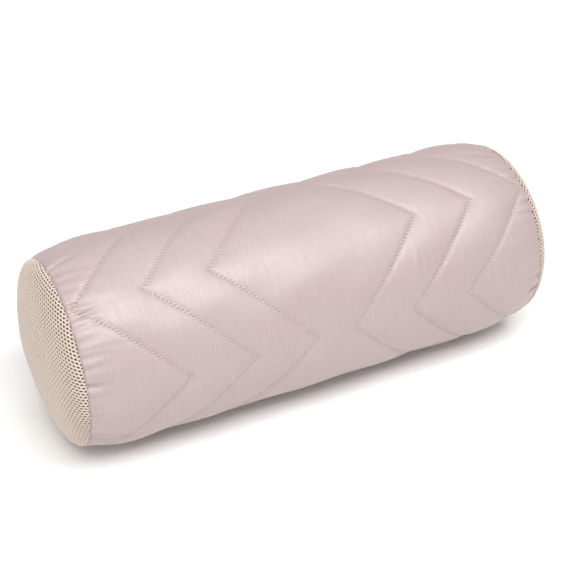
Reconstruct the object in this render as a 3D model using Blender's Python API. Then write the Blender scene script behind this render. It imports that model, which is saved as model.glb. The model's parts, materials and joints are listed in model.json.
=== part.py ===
"""Bolster pillow, 400 mm long and 150 mm across, with a quilted zip-off cover and a filled inner.

A chevron-quilted satin barrel (face cloth, wadding, lining) closes lengthwise at the back with a
coil zip. A domed disc of spacer mesh is sewn into each end. Inside is a cotton casing full of fibre.
Run with: blender --background --python part.py
Units are metres. +X runs along the bolster, +Y to its back and +Z up. The origin is on the ground
under its middle. An angle around the barrel is 0 at the front, 90 degrees on top, 180 at the back.
"""
import math

import bmesh
import bpy
import numpy as np

MM = 0.001
GAP = 0.3 * MM                      # between neighbouring pieces

# The barrel
FACE_RADIUS = 74.5 * MM             # outside of the face cloth, at the middle
SEAM_RADIUS = 68.0 * MM             # where the mesh ends are sewn in
SEAM_X = 180.0 * MM                 # from the middle to each end seam
ROUNDING_START = 140.0 * MM         # the barrel narrows from here to the end seam
ROUNDING_POWER = 2.2
DOME_HEIGHT = 20.0 * MM             # how far a mesh end bulges past its seam
AXIS_HEIGHT = 72.0 * MM             # the underside is pressed flat by its own weight

# Depth below the outside of the face cloth of each layer's outer and inner surface
FACE_DEPTHS = (0.0, 0.9 * MM)
WADDING_DEPTHS = (1.2 * MM, 5.2 * MM)
LINING_DEPTHS = (5.5 * MM, 6.0 * MM)
CASING_DEPTHS = (7.4 * MM, 7.9 * MM)
FILL_DEPTH = 8.6 * MM
INNER_EASE = 0.6 * MM               # lining and inner pillow draw in this much more at the ends
INNER_END_X = 178.0 * MM            # where the casing's end discs are sewn in
CASING_DOME = 16.5 * MM
MESH_THICKNESS = 2.5 * MM

# The quilting: three zigzag rows on each half, mirrored about the middle
ZIG_DEPTH = 66.0 * MM               # along X, from a row's inner corners to its outer ones
ROW_START = ZIG_DEPTH * 8 / 36      # from the middle to the first row's inner corners
ROW_SPACING = ZIG_DEPTH * 26 / 36
ROW_OFFSETS = (0.0, ROW_SPACING, 2.0 * ROW_SPACING)
OUTER_CORNER_ANGLE = 58.2           # degrees around the barrel
HALF_PERIOD_ANGLE = 53.7            # from an outer corner to the next inner one
QUILT_SHIFT = 2.5 * MM              # the cloth is sewn in this far off centre; less near the seams
GROOVE_DEPTH = 1.5 * MM
GROOVE_HALF_WIDTH = 3.0 * MM
THREAD_RADIUS = 0.25 * MM
CORNER_STEPS = 6                    # mesh steps around the barrel from corner to corner

# The zip, along the back
ZIP_ANGLE = 165.0
SLOT_HALF_WIDTH = 5.5 * MM
ZIP_STITCH_OFFSET = 7.2 * MM
QUILT_THREAD_END = 9.2 * MM         # the quilting rows stop this far from the zip's middle line
TAPE_EDGES = (0.5 * MM, 14.3 * MM)
TAPE_DEPTHS = (2.6 * MM, 3.2 * MM)
COIL_EDGES = (0.85 * MM, 3.0 * MM)
COIL_DEPTHS = (0.3 * MM, 2.3 * MM)
CHAIN_HALF_LENGTH = 144.0 * MM
STOP_LENGTH = 2.2 * MM

# The slider and its pull tab
SLIDER_REST_X = 138.0 * MM
SLIDER_LENGTH = 9.6 * MM
SLIDER_HALF_WIDTH = 4.3 * MM
SLIDER_PLATE = 0.7 * MM
SLIDER_CLEARANCE = 0.4 * MM
POST_HALF_WIDTH = 0.45 * MM
HINGE_RISE = 1.1 * MM               # hinge axis above the slider's top plate
BAIL_HALF_WIDTH = 0.8 * MM
BAIL_WIRE = 0.8 * MM
TAB_LENGTH = 24.0 * MM
TAB_THICKNESS = 0.8 * MM
TAB_BAR = 1.0 * MM                  # the end bar that turns under the bail
TAB_WINDOW = 5.2 * MM
TAB_BAIL_CLEARANCE = 0.5 * MM
TAB_ROOT_HALF_WIDTH = 2.4 * MM
TAB_TIP_HALF_WIDTH = 3.2 * MM

# Stitching of the inner pillow
CLOSING_SEAM_LENGTH = 120.0 * MM

# Mesh steps
ROUND_STEPS = 40
DOME_STEPS = 7
ROUNDING_PARTS = (0.3, 0.55, 0.8, 1.0)  # steps along a rounded end, as shares of its length
THREAD_SIDES = 4


def make_material(name, rgb, roughness, metallic=0.0):
    """A Principled material of one linear colour."""
    material = bpy.data.materials.new(name)
    material.use_nodes = True
    shader = material.node_tree.nodes["Principled BSDF"]
    shader.inputs["Base Color"].default_value = (*rgb, 1.0)
    shader.inputs["Roughness"].default_value = roughness
    shader.inputs["Metallic"].default_value = metallic
    return material


def add_object(name, bm, look, parent=None):
    """Turn a bmesh into a named object with its own material, shaded smooth across soft edges."""
    bmesh.ops.recalc_face_normals(bm, faces=bm.faces)
    mesh = bpy.data.meshes.new(name)
    bm.to_mesh(mesh)
    bm.free()
    mesh.shade_smooth()
    mesh.set_sharp_from_angle(angle=math.radians(35.0))
    mesh.materials.append(make_material(name, *look))
    obj = bpy.data.objects.new(name, mesh)
    obj.parent = parent
    bpy.context.scene.collection.objects.link(obj)
    return obj


# --- the barrel's shape ---------------------------------------------------------------------------

def rounding(x):
    """0 along the middle of the barrel, rising to 1 at the end seams."""
    return np.clip((np.abs(x) - ROUNDING_START) / (SEAM_X - ROUNDING_START), 0.0, 1.0)


def face_radius(x):
    """Radius of the face cloth's outside at a place along the barrel."""
    return FACE_RADIUS - (FACE_RADIUS - SEAM_RADIUS) * rounding(x) ** ROUNDING_POWER


def barrel_point(x, angle, depth):
    """Points at a depth below the barrel's surface, kept off the ground by the pressed-flat underside."""
    turn = np.radians(angle)
    radius = face_radius(x) - depth
    height = np.maximum(AXIS_HEIGHT + radius * np.sin(turn), depth)
    return np.stack(np.broadcast_arrays(x, -radius * np.cos(turn), height), axis=-1)


def zip_side_angle(distance):
    """Angle around the barrel of a line at a distance from the zip; positive is below the zip."""
    return ZIP_ANGLE + np.degrees(distance / FACE_RADIUS)


def zip_distance(angle):
    """Distance around the barrel from the zip's middle line."""
    away = np.abs((angle - ZIP_ANGLE + 180.0) % 360.0 - 180.0)
    return np.radians(away) * FACE_RADIUS


def quilt_angles():
    """Angles of the cloth's mesh lines, from one edge of the zip slot round to the other, with a
    line on every corner of the quilting."""
    start, end = zip_side_angle(SLOT_HALF_WIDTH) - 360.0, zip_side_angle(-SLOT_HALF_WIDTH)
    corners = [OUTER_CORNER_ANGLE + n * HALF_PERIOD_ANGLE for n in range(-6, 4)]
    stations = [start] + [angle for angle in corners if start < angle < end] + [end]
    lines = [start]
    for low, high in zip(stations, stations[1:]):
        steps = max(1, round(CORNER_STEPS * (high - low) / HALF_PERIOD_ANGLE))
        lines += [low + (high - low) * n / steps for n in range(1, steps + 1)]
    return np.array(lines)


def zigzag(angle):
    """A triangle wave around the barrel: 1 at the outer corners and 0 at the inner ones."""
    phase = np.abs((angle - OUTER_CORNER_ANGLE) / HALF_PERIOD_ANGLE) % 2.0
    return np.abs(1.0 - phase)


def row_x(row, side, angle):
    """Where a quilting row lies along X at each angle; side is -1 on the left and 1 on the right."""
    x = side * (ROW_START + ROW_OFFSETS[row] + ZIG_DEPTH * zigzag(angle))
    return x + QUILT_SHIFT * (1.0 - (x / SEAM_X) ** 4)


def groove(angle):
    """Depth of a quilting row's groove; it fades out beside the zip."""
    return GROOVE_DEPTH * np.clip((zip_distance(angle) - 6.0 * MM) / (12.0 * MM), 0.0, 1.0)


def half_columns(side, angle):
    """X and groove depth of the cloth's mesh columns on one half, from the middle to the end seam."""
    columns = []
    inner = np.full_like(angle, QUILT_SHIFT)
    for row in range(len(ROW_OFFSETS)):
        line = row_x(row, side, angle)
        before = line - side * GROOVE_HALF_WIDTH
        room = SEAM_X - np.abs(line)
        after = line + side * np.minimum(GROOVE_HALF_WIDTH, 0.4 * room)
        columns += [((inner + before) / 2, 0.0), (before, 0.0), (line, 1.0), (after, 0.0)]
        inner = after
    columns += [(inner + (side * SEAM_X - inner) * part, 0.0) for part in (0.4, 0.75, 1.0)]
    return columns


def quilted_surface(angle, depth):
    """A grid of points on a quilted layer: rows run around the barrel, columns follow the zigzags."""
    left = half_columns(-1, angle)[::-1]
    middle = [(np.full_like(angle, QUILT_SHIFT), 0.0)]
    columns = left + middle + half_columns(1, angle)
    points = [barrel_point(x, angle, depth + share * groove(angle)) for x, share in columns]
    return np.stack(points, axis=1)


def straight_places(count=11):
    """Places along X for the unquilted layers: even along the middle, closer on the rounded ends."""
    end = [ROUNDING_START + (SEAM_X - ROUNDING_START) * part for part in ROUNDING_PARTS]
    middle = np.linspace(-ROUNDING_START, ROUNDING_START, count - 2 * len(end))
    return np.array([-x for x in reversed(end)] + list(middle) + end)


def plain_surface(x_places, angle, depth, ease=INNER_EASE):
    """A grid of points on an unquilted layer."""
    points = [barrel_point(x, angle, depth + ease * rounding(x)) for x in x_places]
    return np.stack(points, axis=1)


# --- solids ---------------------------------------------------------------------------------------

def add_grid(bm, points, wrap=False):
    """Add a grid of points and the faces between them; returns its vertices row by row."""
    rows = [[bm.verts.new(point) for point in row] for row in points]
    following = rows[1:] + (rows[:1] if wrap else [])
    for row, after in zip(rows, following):
        for near, far in zip(zip(row, row[1:]), zip(after, after[1:])):
            bm.faces.new((near[0], near[1], far[1], far[0]))
    return rows


def bridge(bm, first, second):
    """Join two matching lines of vertices with a strip of faces."""
    for near, far in zip(zip(first, first[1:]), zip(second, second[1:])):
        bm.faces.new((near[0], near[1], far[1], far[0]))


def sheet_solid(outer, inner, wrap=False):
    """A closed sheet between two matching grids; wrap joins its first row to its last."""
    bm = bmesh.new()
    top = add_grid(bm, outer, wrap)
    bottom = add_grid(bm, inner, wrap)
    if not wrap:
        bridge(bm, top[0], bottom[0])
        bridge(bm, top[-1], bottom[-1])
    for column in (0, -1):
        loops = [[row[column] for row in rows] for rows in (top, bottom)]
        if wrap:
            loops = [loop + loop[:1] for loop in loops]
        bridge(bm, *loops)
    return bm


def rod_solid(path, outward, radius=THREAD_RADIUS, closed=False):
    """A thin rod along a path; outward holds the direction away from the cloth at each point."""
    bm = bmesh.new()
    ahead = np.roll(path, -1, axis=0) - np.roll(path, 1, axis=0)
    if not closed:
        ahead[0], ahead[-1] = path[1] - path[0], path[-1] - path[-2]
    across = np.cross(outward, ahead)
    across /= np.linalg.norm(across, axis=1, keepdims=True)
    rings = []
    for centre, up, aside in zip(path, outward, across):
        turns = [2.0 * math.pi * (n + 0.5) / THREAD_SIDES for n in range(THREAD_SIDES)]
        rings.append([bm.verts.new(centre + radius * (math.cos(a) * up + math.sin(a) * aside))
                      for a in turns])
    for ring, after in zip(rings, rings[1:] + (rings[:1] if closed else [])):
        bridge(bm, ring + ring[:1], after + after[:1])
    if not closed:
        bm.faces.new(rings[0])
        bm.faces.new(rings[-1])
    return bm


def turned_solid(profile, close_tip):
    """Turn a profile of (x, radius, lowest height) points about the bolster's axis. With close_tip
    its first and last points lie on the axis; without, the last one joins the first in a ring."""
    bm = bmesh.new()
    turns = [2.0 * math.pi * n / ROUND_STEPS for n in range(ROUND_STEPS)]
    loops = []
    for x, radius, floor in profile:
        if radius == 0.0:
            loops.append([bm.verts.new((x, 0.0, AXIS_HEIGHT))])
            continue
        loops.append([bm.verts.new((x, -radius * math.cos(a),
                                    max(AXIS_HEIGHT + radius * math.sin(a), floor)))
                      for a in turns])
    pairs = list(zip(loops, loops[1:])) + ([] if close_tip else [(loops[-1], loops[0])])
    for loop, after in pairs:
        if len(loop) == 1 or len(after) == 1:
            tip, ring = (loop, after) if len(loop) == 1 else (after, loop)
            for a, b in zip(ring, ring[1:] + ring[:1]):
                bm.faces.new((tip[0], a, b))
        else:
            bridge(bm, loop + loop[:1], after + after[:1])
    return bm


def dome_profile(rim_x, rim_radius, height, side):
    """From the rim to the tip of an end dome that rises steeply and then levels out."""
    shares = [math.cos(math.pi / 2 * n / DOME_STEPS) for n in range(DOME_STEPS)] + [0.0]
    return [(side * (rim_x + height * math.sqrt(1.0 - share ** 1.5)), rim_radius * share, 0.0)
            for share in shares]


def box_solid(low, high, place):
    """A box between two corners given as (along, across, out), put in place by a function."""
    bm = bmesh.new()
    bmesh.ops.create_cube(bm, size=1.0)
    centre, size = (np.array(high) + low) / 2, np.array(high) - low
    for vert in bm.verts:
        vert.co = place(*(centre + size * np.array(vert.co)))
    return bm


# --- the cover's cloth ----------------------------------------------------------------------------

SATIN = ((0.62, 0.47, 0.46), 0.38)
THREAD = ((0.45, 0.32, 0.32), 0.6)
MESH_CLOTH = ((0.66, 0.55, 0.42), 0.85)
TAPE_CLOTH = ((0.60, 0.46, 0.45), 0.8)
NYLON = ((0.62, 0.50, 0.49), 0.4)
WADDING_LOOK = ((0.88, 0.87, 0.84), 0.95)
LINING_LOOK = ((0.78, 0.75, 0.70), 0.85)
CASING_LOOK = ((0.82, 0.80, 0.75), 0.8)
NICKEL = ((0.68, 0.65, 0.61), 0.25, 1.0)


def build_cover_cloth():
    """The three layers that the quilting holds together, each slit along the zip."""
    lines = quilt_angles()
    face = [quilted_surface(lines, depth) for depth in FACE_DEPTHS]
    add_object("cover_face", sheet_solid(*face), SATIN)
    upper = quilted_surface(lines[1:-1], WADDING_DEPTHS[0])
    places = straight_places(upper.shape[1])
    lower = plain_surface(places, lines[1:-1], WADDING_DEPTHS[1], ease=0.0)
    add_object("cover_wadding", sheet_solid(upper, lower), WADDING_LOOK)
    lining = [plain_surface(straight_places(), lines, depth) for depth in LINING_DEPTHS]
    add_object("cover_lining", sheet_solid(*lining), LINING_LOOK)


def build_quilting():
    """One thread for each quilting row, lying in its groove."""
    lines = quilt_angles()
    start, end = zip_side_angle(QUILT_THREAD_END) - 360.0, zip_side_angle(-QUILT_THREAD_END)
    for side, word in ((-1, "left"), (1, "right")):
        for row in range(len(ROW_OFFSETS)):
            x = row_x(row, side, lines)
            bed = barrel_point(x, lines, groove(lines))
            angle = np.concatenate(([start], lines[(lines > start) & (lines < end)], [end]))
            turn = np.radians(angle)
            outward = np.stack([0 * turn, -np.cos(turn), np.sin(turn)], axis=1)
            path = np.stack([np.interp(angle, lines, bed[:, n]) for n in range(3)], axis=1)
            path += outward * (GAP + THREAD_RADIUS)
            add_object(f"quilt_thread_{word}_{row + 1}", rod_solid(path, outward), THREAD)


def ring_path(x, radius):
    """Points and outward directions around the bolster's axis."""
    turn = np.linspace(0.0, 2.0 * math.pi, ROUND_STEPS, endpoint=False)
    outward = np.stack([0 * turn, -np.cos(turn), np.sin(turn)], axis=1)
    return np.array((x, 0.0, AXIS_HEIGHT)) + radius * outward, outward


def build_mesh_ends():
    """A domed disc of spacer mesh at each end, and the thread of its seam."""
    for side, word in ((-1, "left"), (1, "right")):
        outer = dome_profile(SEAM_X + GAP, SEAM_RADIUS, DOME_HEIGHT - GAP, side)
        inner = dome_profile(SEAM_X + GAP, SEAM_RADIUS - MESH_THICKNESS,
                             DOME_HEIGHT - GAP - MESH_THICKNESS, side)
        solid = turned_solid(outer[::-1] + inner, close_tip=True)
        add_object(f"mesh_end_{word}", solid, MESH_CLOTH)
        path, outward = ring_path(side * (SEAM_X + GAP / 2),
                                  SEAM_RADIUS + GAP + 2.0 * THREAD_RADIUS)
        add_object(f"seam_thread_{word}", rod_solid(path, outward, closed=True), THREAD)


# --- the zip --------------------------------------------------------------------------------------

def zip_place(along, across, out):
    """A point beside the zip: along X, across the zip (positive is below it), and out from the axis."""
    turn = math.radians(ZIP_ANGLE)
    outward = np.array((0.0, -math.cos(turn), math.sin(turn)))
    below = np.array((0.0, math.sin(turn), math.cos(turn)))
    return np.array((along, 0.0, AXIS_HEIGHT)) + across * below + out * outward


def build_zip_tapes():
    """Two woven tapes under the face cloth, with the threads that sew them to it."""
    for side, word in ((-1, "upper"), (1, "lower")):
        edges = np.linspace(*TAPE_EDGES, 4)
        angle = zip_side_angle(side * edges)
        tape = [plain_surface(straight_places(), angle, depth, ease=0.0) for depth in TAPE_DEPTHS]
        add_object(f"zip_tape_{word}", sheet_solid(*tape), TAPE_CLOTH)
        places = straight_places()
        angle = zip_side_angle(side * ZIP_STITCH_OFFSET)
        path = barrel_point(places, angle, -(GAP + THREAD_RADIUS))
        turn = math.radians(angle)
        outward = np.tile((0.0, -math.cos(turn), math.sin(turn)), (len(places), 1))
        add_object(f"zip_stitch_{word}", rod_solid(path, outward), THREAD)


def build_zip_chain():
    """A row of coil on each tape, two top stops and a bottom stop."""
    high, low = FACE_RADIUS - COIL_DEPTHS[0], FACE_RADIUS - COIL_DEPTHS[1]
    near, far = COIL_EDGES
    stop_start = CHAIN_HALF_LENGTH + GAP
    stop_end = stop_start + STOP_LENGTH
    for side, word in ((-1, "upper"), (1, "lower")):
        across = sorted((side * near, side * far))
        coil = box_solid((-CHAIN_HALF_LENGTH, across[0], low), (CHAIN_HALF_LENGTH, across[1], high),
                         zip_place)
        add_object(f"zip_coil_{word}", coil, NYLON)
        stop = box_solid((stop_start, across[0], low), (stop_end, across[1], high), zip_place)
        add_object(f"zip_top_stop_{word}", stop, NICKEL)
    stop = box_solid((-stop_end, -far, low), (-stop_start, far, high), zip_place)
    add_object("zip_bottom_stop", stop, NICKEL)


def joint_empty(name, position, parent=None):
    """An empty that carries a moving piece."""
    empty = bpy.data.objects.new(name, None)
    empty.location = position
    empty.parent = parent
    bpy.context.scene.collection.objects.link(empty)
    return empty


def turned_to_zip(along, across, out):
    """A point given from a moving piece's own origin, with its sides turned to face the zip."""
    return zip_place(along, across, out) - zip_place(0.0, 0.0, 0.0)


def extrude_profile(bm, profile, low, high, place):
    """Extrude an outline of (first, second) points between two values of a third coordinate."""
    ends = [[bm.verts.new(place(first, second, value)) for first, second in profile]
            for value in (low, high)]
    bridge(bm, ends[0] + ends[0][:1], ends[1] + ends[1][:1])
    bm.faces.new(ends[0])
    bm.faces.new(ends[1])


def slider_outline():
    """Cross-section of the slider: two plates joined by a post, with flanges beside the coils.
    Each point is (across, out), with out measured from the hinge axis."""
    top = -HINGE_RISE
    ceiling = top - SLIDER_PLATE
    lip = ceiling - (COIL_DEPTHS[1] - COIL_DEPTHS[0]) - SLIDER_CLEARANCE + GAP
    floor = ceiling - 2.0 * SLIDER_CLEARANCE - (TAPE_DEPTHS[1] - COIL_DEPTHS[0])
    bottom = floor - SLIDER_PLATE
    wall = SLIDER_HALF_WIDTH - SLIDER_PLATE
    half = [(SLIDER_HALF_WIDTH, top), (SLIDER_HALF_WIDTH, lip), (wall, lip), (wall, ceiling),
            (POST_HALF_WIDTH, ceiling), (POST_HALF_WIDTH, floor), (SLIDER_HALF_WIDTH, floor),
            (SLIDER_HALF_WIDTH, bottom)]
    return half + [(-across, out) for across, out in reversed(half)]


def build_slider(empty):
    """The slider's body with the bail that holds the pull tab, as one casting."""
    bm = bmesh.new()
    half_length = SLIDER_LENGTH / 2
    extrude_profile(bm, slider_outline(), -half_length, half_length,
                    lambda across, out, along: turned_to_zip(along, across, out))
    body = add_object("zip_slider", bm, NICKEL, parent=empty)
    inside = HINGE_RISE
    outside = inside + BAIL_WIRE
    foot = -HINGE_RISE - SLIDER_PLATE / 2
    arch = [(-outside, foot), (-outside, outside * 0.6), (-outside * 0.6, outside),
            (outside * 0.6, outside), (outside, outside * 0.6), (outside, foot),
            (inside, foot), (inside, inside * 0.6), (inside * 0.6, inside),
            (-inside * 0.6, inside), (-inside, inside * 0.6), (-inside, foot)]
    bm = bmesh.new()
    extrude_profile(bm, arch, -BAIL_HALF_WIDTH, BAIL_HALF_WIDTH,
                    lambda along, out, across: turned_to_zip(along, across, out))
    bail = add_object("zip_slider_bail_shape", bm, NICKEL, parent=empty)
    bail.hide_render = True
    bail.display_type = "WIRE"
    union = body.modifiers.new("bail", "BOOLEAN")
    union.operation = "UNION"
    union.solver = "EXACT"
    union.object = bail


def build_pull_tab(empty):
    """A pull tab whose end bar turns under the bail; it lies along the zip at rest."""
    bar = TAB_BAR / 2
    arm = BAIL_HALF_WIDTH + TAB_BAIL_CLEARANCE
    half = TAB_THICKNESS / 2
    outline = [(bar, -TAB_ROOT_HALF_WIDTH), (bar, TAB_ROOT_HALF_WIDTH),
               (-TAB_LENGTH * 0.85, TAB_TIP_HALF_WIDTH), (-TAB_LENGTH, TAB_TIP_HALF_WIDTH * 0.5),
               (-TAB_LENGTH, -TAB_TIP_HALF_WIDTH * 0.5), (-TAB_LENGTH * 0.85, -TAB_TIP_HALF_WIDTH)]
    hole = [(-bar, -arm), (-bar, arm), (-TAB_WINDOW, arm), (-TAB_WINDOW, -arm)]
    bm = bmesh.new()
    extrude_profile(bm, outline, -half, half, turned_to_zip)
    tab = add_object("zip_pull_tab", bm, NICKEL, parent=empty)
    bm = bmesh.new()
    extrude_profile(bm, hole, -TAB_THICKNESS, TAB_THICKNESS, turned_to_zip)
    cutter = add_object("zip_pull_tab_window", bm, NICKEL, parent=empty)
    cutter.hide_render = True
    cutter.display_type = "WIRE"
    cut = tab.modifiers.new("window", "BOOLEAN")
    cut.operation = "DIFFERENCE"
    cut.solver = "EXACT"
    cut.object = cutter


def build_zip_mover():
    """The slider at the closed end of the chain, and the tab that hangs from it."""
    out = FACE_RADIUS - COIL_DEPTHS[0] + SLIDER_CLEARANCE + SLIDER_PLATE + HINGE_RISE
    slider_origin = joint_empty("slider_origin", zip_place(SLIDER_REST_X, 0.0, out))
    build_slider(slider_origin)
    tab_origin = joint_empty("tab_hinge", (0.0, 0.0, 0.0), parent=slider_origin)
    build_pull_tab(tab_origin)


# --- the inner pillow -----------------------------------------------------------------------------

def inner_profile(depth):
    """The straight part of the inner pillow, as (x, radius, lowest height) points left to right."""
    inside = [float(x) for x in straight_places() if abs(x) < INNER_END_X]
    places = [-INNER_END_X] + inside + [INNER_END_X]
    return [(x, float(face_radius(x)) - depth - INNER_EASE * float(rounding(x)),
             depth + INNER_EASE * float(rounding(x))) for x in places]


def build_inner_pillow():
    """A casing of a tube and two discs, its seam threads, and the fibre that fills it."""
    outer, inner = (inner_profile(depth) for depth in CASING_DEPTHS)
    tube = turned_solid(outer + inner[::-1], close_tip=False)
    add_object("inner_casing_tube", tube, CASING_LOOK)
    thickness = CASING_DEPTHS[1] - CASING_DEPTHS[0]
    rim_radius = outer[0][1]
    rim_x = INNER_END_X + GAP
    for side, word in ((-1, "left"), (1, "right")):
        skin = dome_profile(rim_x, rim_radius, CASING_DOME, side)
        back = dome_profile(rim_x, rim_radius - thickness, CASING_DOME - thickness, side)
        add_object(f"inner_casing_end_{word}", turned_solid(skin[::-1] + back, close_tip=True),
                   CASING_LOOK)
        path, outward = ring_path(side * (INNER_END_X + GAP / 2),
                                  rim_radius + GAP + THREAD_RADIUS)
        add_object(f"inner_seam_thread_{word}", rod_solid(path, outward, closed=True), THREAD)
    inset = FILL_DEPTH - CASING_DEPTHS[0]
    ends = [dome_profile(rim_x, rim_radius - inset, CASING_DOME - inset, side) for side in (-1, 1)]
    barrel = inner_profile(FILL_DEPTH)
    fill = turned_solid(ends[0][::-1] + barrel + ends[1], close_tip=True)
    add_object("fibre_fill", fill, WADDING_LOOK)
    places = np.linspace(-CLOSING_SEAM_LENGTH / 2, CLOSING_SEAM_LENGTH / 2, 5)
    path = barrel_point(places, ZIP_ANGLE, CASING_DEPTHS[0] - GAP - THREAD_RADIUS)
    turn = math.radians(ZIP_ANGLE)
    outward = np.tile((0.0, -math.cos(turn), math.sin(turn)), (len(places), 1))
    add_object("inner_closing_thread", rod_solid(path, outward), THREAD)


def main():
    for obj in list(bpy.data.objects):
        bpy.data.objects.remove(obj, do_unlink=True)
    build_cover_cloth()
    build_quilting()
    build_mesh_ends()
    build_zip_tapes()
    build_zip_chain()
    build_zip_mover()
    build_inner_pillow()


main()
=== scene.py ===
"""Looks of the bolster pillow: quilted satin cover, spacer-mesh ends, coil zip and filled inner.

Everything is in metres in the frame's own coordinates: +X along the bolster, +Y to the zip at the
back, +Z up. An angle around the barrel is 0 at the front, 90 degrees on top and 180 at the back.
"""
import json
import math

import bpy
import numpy as np
from mathutils import Matrix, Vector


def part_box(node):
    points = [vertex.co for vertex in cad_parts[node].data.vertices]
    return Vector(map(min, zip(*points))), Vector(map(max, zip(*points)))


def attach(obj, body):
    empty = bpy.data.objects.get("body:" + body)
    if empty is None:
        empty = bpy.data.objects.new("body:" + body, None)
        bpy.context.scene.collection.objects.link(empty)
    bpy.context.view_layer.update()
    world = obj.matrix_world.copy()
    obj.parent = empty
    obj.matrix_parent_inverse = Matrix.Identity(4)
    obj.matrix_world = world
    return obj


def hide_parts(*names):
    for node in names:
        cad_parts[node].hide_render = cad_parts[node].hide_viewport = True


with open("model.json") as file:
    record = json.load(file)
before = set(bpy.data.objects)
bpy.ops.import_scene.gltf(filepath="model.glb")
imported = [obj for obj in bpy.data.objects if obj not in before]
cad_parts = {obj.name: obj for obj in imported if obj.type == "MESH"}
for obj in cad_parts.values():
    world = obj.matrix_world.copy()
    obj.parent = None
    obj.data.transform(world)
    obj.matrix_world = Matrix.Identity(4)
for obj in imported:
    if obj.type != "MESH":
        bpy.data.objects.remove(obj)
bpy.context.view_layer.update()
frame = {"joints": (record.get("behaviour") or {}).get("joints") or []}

MM = 0.001
rng = np.random.default_rng(40)

# The barrel, as the frame holds it
seam_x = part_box("cover_face")[1][0]
mesh_low, mesh_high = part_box("mesh_end_right")
seam_radius = (mesh_high[2] - mesh_low[2]) / 2
axis_height = (mesh_high[2] + mesh_low[2]) / 2
dome_height = mesh_high[0] - seam_x
axis_middle = np.array((0.0, 0.0, axis_height))
FACE_RADIUS = 74.5 * MM
ROUNDING_START = 140.0 * MM
ROUNDING_POWER = 2.2

# The inner pillow
INNER_DEPTH = 7.4 * MM              # below the cover's surface
INNER_EASE = 0.6 * MM
INNER_END_X = 178.0 * MM
CASING_FLOOR = 8.0 * MM             # where the casing lies above the ground
CALICO = 0.35 * MM
CASING_DOME = 16.5 * MM

# The quilting
OUTER_CORNER_ANGLE = 58.2
HALF_PERIOD_ANGLE = 53.7
QUILT_SHIFT = 2.5 * MM
GROOVE_DEPTH = 1.7 * MM
STEPS = 36                          # cloth steps from one quilting corner to the next
ROW_START_STEPS = 8
ROW_SPACING_STEPS = 26
END_STEPS = 98                      # cloth steps from the middle to an end seam
FIRST_LINE, LAST_LINE = -167, 69    # cloth lines along the two edges of the zip slot
TURNED_IN = 3                       # cloth steps of seam allowance and hem
HALF_PERIOD_ARC = 69.8 * MM         # around the cloth, from one quilting corner to the next
STITCHES = 32                       # in that arc
STITCH_PITCH = 3.0 * MM
WEFT_PITCH = 1.0 * MM
STEP_X = seam_x / END_STEPS
SWELL_FRAMES = 24                   # the cloth has settled by then

# The zip
ZIP_ANGLE = 165.0
SLOT_HALF_WIDTH = 5.2 * MM
ZIP_STITCH_OFFSET = 7.2 * MM
CHAIN_HALF_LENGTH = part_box("zip_coil_upper")[1][0]
STOP_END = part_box("zip_top_stop_upper")[1][0]
TAPE_DEPTH = 2.6 * MM
COIL_LOW = FACE_RADIUS - 2.3 * MM
COIL_HIGH = FACE_RADIUS - 0.3 * MM
COIL_PITCH = 1.5 * MM


# --- colours and nodes ----------------------------------------------------------------------------

def linear(hex_colour):
    """An sRGB hex colour as linear red, green, blue and alpha."""
    parts = [int(hex_colour[n:n + 2], 16) / 255 for n in (1, 3, 5)]
    return (*[p / 12.92 if p <= 0.04045 else ((p + 0.055) / 1.055) ** 2.4 for p in parts], 1.0)


def node(tree, kind, inputs=(), output=0, **settings):
    """Add one node and return one of its outputs. inputs gives each socket, by name or by number, the
    value or the other node's output that it takes."""
    made = tree.nodes.new("ShaderNode" + kind)
    for key, value in settings.items():
        setattr(made, key, value)
    for key, value in (inputs if isinstance(inputs, dict) else dict(enumerate(inputs))).items():
        if isinstance(value, bpy.types.NodeSocket):
            tree.links.new(value, made.inputs[key])
        else:
            made.inputs[key].default_value = value
    return made.outputs[output] if len(made.outputs) else None


def new_material(name):
    """An empty material and its node tree."""
    material = bpy.data.materials.new(name)
    material.use_nodes = True
    material.node_tree.nodes.clear()
    return material, material.node_tree


def two_tone(material, pattern, low, high, bump, **shader):
    """Finish a material whose colour and height both follow one pattern from 0 to 1: the colour goes
    from low to high, and the height from 0 to bump metres."""
    tree = material.node_tree
    colour = node(tree, "Mix", {0: pattern, 6: low, 7: high}, 2, data_type="RGBA")
    normal = node(tree, "Bump", {"Height": pattern, "Distance": bump}, "Normal")
    values = {key.replace("_", " "): value for key, value in shader.items()}
    surface = node(tree, "BsdfPrincipled", {"Base Color": colour, "Normal": normal, **values})
    node(tree, "OutputMaterial", {"Surface": surface})
    return material


# --- materials ------------------------------------------------------------------------------------

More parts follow.
